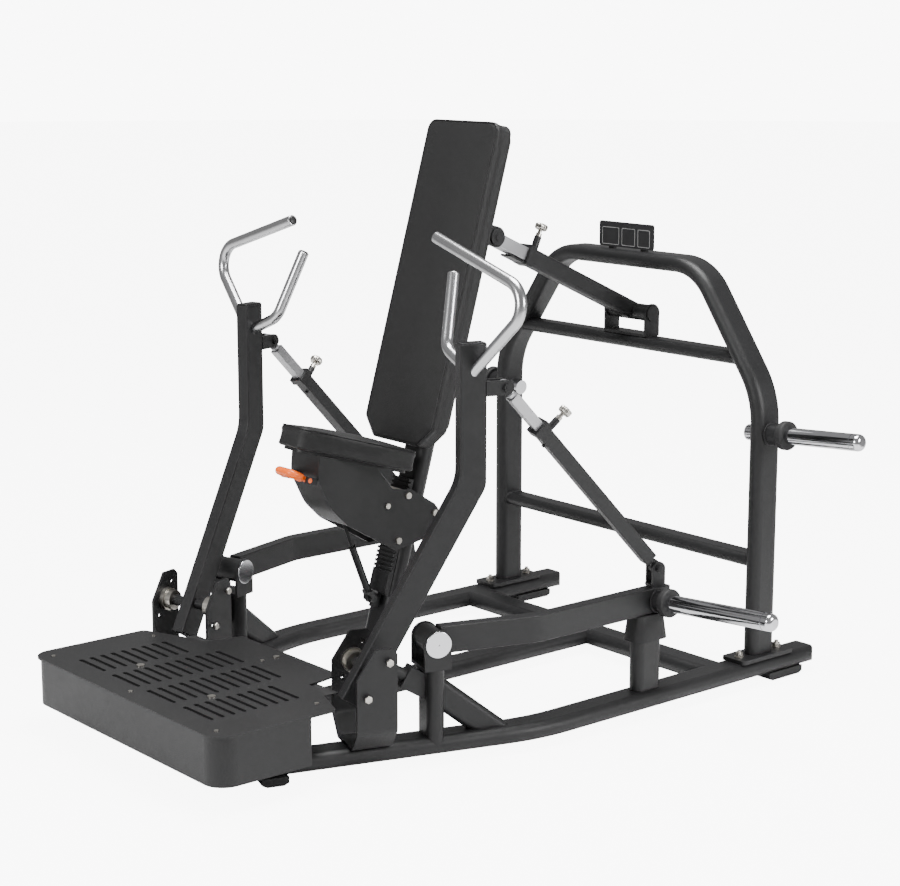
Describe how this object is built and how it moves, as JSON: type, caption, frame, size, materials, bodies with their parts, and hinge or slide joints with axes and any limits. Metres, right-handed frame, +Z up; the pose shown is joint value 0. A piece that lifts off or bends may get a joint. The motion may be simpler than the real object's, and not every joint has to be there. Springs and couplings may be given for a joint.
{
  "type": "plate-loaded converging seated chest press",
  "caption": "Plate-loaded seated chest press with converging toed-in press arms linked to weight levers, tilting backrest, sliding seat and slotted foot platform.",
  "frame": {"origin": "on the floor under the middle of the machine", "axes": "+Z up, the user faces -Y, +X to the user's left"},
  "size_m": [2.0536, 2.092, 1.6724],
  "materials": {
    "frame_paint": "textured satin powder coat",
    "deck_paint": "textured satin powder coat",
    "bar_steel": "zinc plated, satin",
    "horn_chrome": "polished",
    "handle_satin": "satin chrome",
    "bolt_steel": "nickel plated",
    "black_rubber": "matte",
    "black_plastic": "semi gloss",
    "board_black": "matte",
    "pad_cover": "grained vinyl",
    "orange_grip": "dipped vinyl",
    "placard_face": "matte"
  },
  "bodies": {
    "root": {"base_rail_right": "frame_paint", "base_rail_left": "frame_paint", "rear_cross_tube": "frame_paint", "front_cross_tube": "frame_paint", "spine_tube": "frame_paint", "rubber_feet": "black_rubber", "rear_arch": "frame_paint", "upper_crossbar": "frame_paint", "mid_crossbar": "frame_paint", "arch_base_plates": "frame_paint", "storage_horns": "horn_chrome", "storage_collars": "black_rubber", "placard": "placard_face", "arm_bracket_right": "frame_paint", "arm_bracket_left": "frame_paint", "arm_bearings_right": "bolt_steel", "arm_bearings_left": "bolt_steel", "lever_post_right": "frame_paint", "lever_post_left": "frame_paint", "lever_saddle_right": "frame_paint", "lever_saddle_left": "frame_paint", "lever_pin_right": "bolt_steel", "lever_pin_left": "bolt_steel", "stop_posts": "frame_paint", "rubber_stops": "black_rubber", "platform_skirt": "frame_paint", "deck_plate": "deck_paint", "platform_ribs": "frame_paint", "frame_fasteners": "bolt_steel", "post_bracket": "frame_paint", "adjuster_saddle": "frame_paint"},
    "arm_right": {"press_arm_right": "frame_paint", "arm_handles_right": "handle_satin"},
    "lever_right": {"weight_lever_right": "frame_paint", "lever_horn_right": "horn_chrome", "lever_collar_right": "black_rubber"},
    "link_right": {"link_bar_right": "bar_steel", "link_sleeve_right": "frame_paint"},
    "pin_right": {"link_pin_right": "bolt_steel"},
    "arm_left": {"press_arm_left": "frame_paint", "arm_handles_left": "handle_satin"},
    "lever_left": {"weight_lever_left": "frame_paint", "lever_horn_left": "horn_chrome", "lever_collar_left": "black_rubber"},
    "link_left": {"link_bar_left": "bar_steel", "link_sleeve_left": "frame_paint"},
    "pin_left": {"link_pin_left": "bolt_steel"},
    "backrest": {"seat_post": "frame_paint", "post_rack": "frame_paint", "back_pad": "pad_cover", "back_board": "board_black"},
    "carriage": {"seat_carriage": "frame_paint", "seat_pad": "pad_cover", "seat_rollers": "bolt_steel"},
    "release": {"release_handle": "orange_grip"},
    "gas_tube_body": {"gas_tube": "black_plastic"},
    "gas_rod_body": {"gas_rod": "horn_chrome"},
    "strut_sleeve": {"adjuster_sleeve": "frame_paint"},
    "strut_bar": {"adjuster_bar": "bar_steel"},
    "strut_pin": {"adjuster_pin": "bolt_steel"}
  },
  "joints": [
    {"name": "arm_press_right", "type": "hinge", "parent": "root", "child": "arm_right", "pos_m": [0.41659, -0.556, 0.2747], "axis": [0.9511, -0.309, 0], "range_deg": [0, 20]},
    {"name": "lever_lift_right", "type": "hinge", "parent": "root", "child": "lever_right", "pos_m": [0.47481, -0.37682, 0.3348], "axis": [0.9511, -0.309, 0], "range_deg": [0, 25.4]},
    {"name": "link_swing_right", "type": "hinge", "parent": "lever_right", "child": "link_right", "pos_m": [0.57, 0.372, 0.427], "axis": [0.9511, -0.309, 0], "range_deg": [-5.4, 0]},
    {"name": "link_pin_pull_right", "type": "slide", "parent": "link_right", "child": "pin_right", "axis": [0.227, 0.6986, 0.6786], "range_m": [0, 0.012], "stiffness_N_per_m": 900},
    {"name": "arm_press_left", "type": "hinge", "parent": "root", "child": "arm_left", "pos_m": [-0.41659, -0.556, 0.2747], "axis": [0.9511, 0.309, 0], "range_deg": [0, 20]},
    {"name": "lever_lift_left", "type": "hinge", "parent": "root", "child": "lever_left", "pos_m": [-0.47481, -0.37682, 0.3348], "axis": [0.9511, 0.309, 0], "range_deg": [0, 25.4]},
    {"name": "link_swing_left", "type": "hinge", "parent": "lever_left", "child": "link_left", "pos_m": [-0.57, 0.372, 0.427], "axis": [0.9511, 0.309, 0], "range_deg": [-5.4, 0]},
    {"name": "link_pin_pull_left", "type": "slide", "parent": "link_left", "child": "pin_left", "axis": [-0.227, 0.6986, 0.6786], "range_m": [0, 0.012], "stiffness_N_per_m": 900},
    {"name": "backrest_tilt", "type": "hinge", "parent": "root", "child": "backrest", "pos_m": [0, -0.213, 0.11], "axis": [1, 0, 0], "range_deg": [-3, 6]},
    {"name": "strut_swing", "type": "hinge", "parent": "root", "child": "strut_sleeve", "pos_m": [0, 0.828, 1.064], "axis": [1, 0, 0], "range_deg": [-0.6, 1.2]},
    {"name": "strut_extend", "type": "slide", "parent": "strut_sleeve", "child": "strut_bar", "axis": [0, -0.9101, 0.4145], "range_m": [-0.07, 0.138]},
    {"name": "strut_pin_pull", "type": "slide", "parent": "strut_sleeve", "child": "strut_pin", "axis": [0, 0.4145, 0.9101], "range_m": [0, 0.012], "stiffness_N_per_m": 900},
    {"name": "seat_slide", "type": "slide", "parent": "backrest", "child": "carriage", "axis": [0, 0.2773, 0.9608], "range_m": [-0.06, 0.05]},
    {"name": "release_lift", "type": "hinge", "parent": "carriage", "child": "release", "pos_m": [0, -0.46564, 0.70958], "axis": [1, 0, 0], "range_deg": [-18, 0], "stiffness_Nm_per_rad": 3},
    {"name": "gas_swing", "type": "hinge", "parent": "backrest", "child": "gas_tube_body", "pos_m": [0, -0.21518, 0.31879], "axis": [1, 0, 0], "range_deg": [-6, 7.2]},
    {"name": "gas_extend", "type": "slide", "parent": "gas_tube_body", "child": "gas_rod_body", "axis": [0, -0.3669, 0.9302], "range_m": [-0.05, 0.042]}
  ],
  "couplings": [
    {"joint": "lever_lift_right", "follows": "arm_press_right", "ratio": 1.2634},
    {"joint": "link_swing_right", "follows": "arm_press_right", "ratio": -0.2627},
    {"joint": "lever_lift_left", "follows": "arm_press_left", "ratio": 1.2634},
    {"joint": "link_swing_left", "follows": "arm_press_left", "ratio": -0.2627},
    {"joint": "strut_swing", "follows": "backrest_tilt", "ratio": 0.18824},
    {"joint": "strut_extend", "follows": "backrest_tilt", "m_per_rad": 1.297},
    {"joint": "gas_swing", "follows": "seat_slide", "rad_per_m": -1.9987},
    {"joint": "gas_extend", "follows": "seat_slide", "ratio": 0.78137}
  ]
}
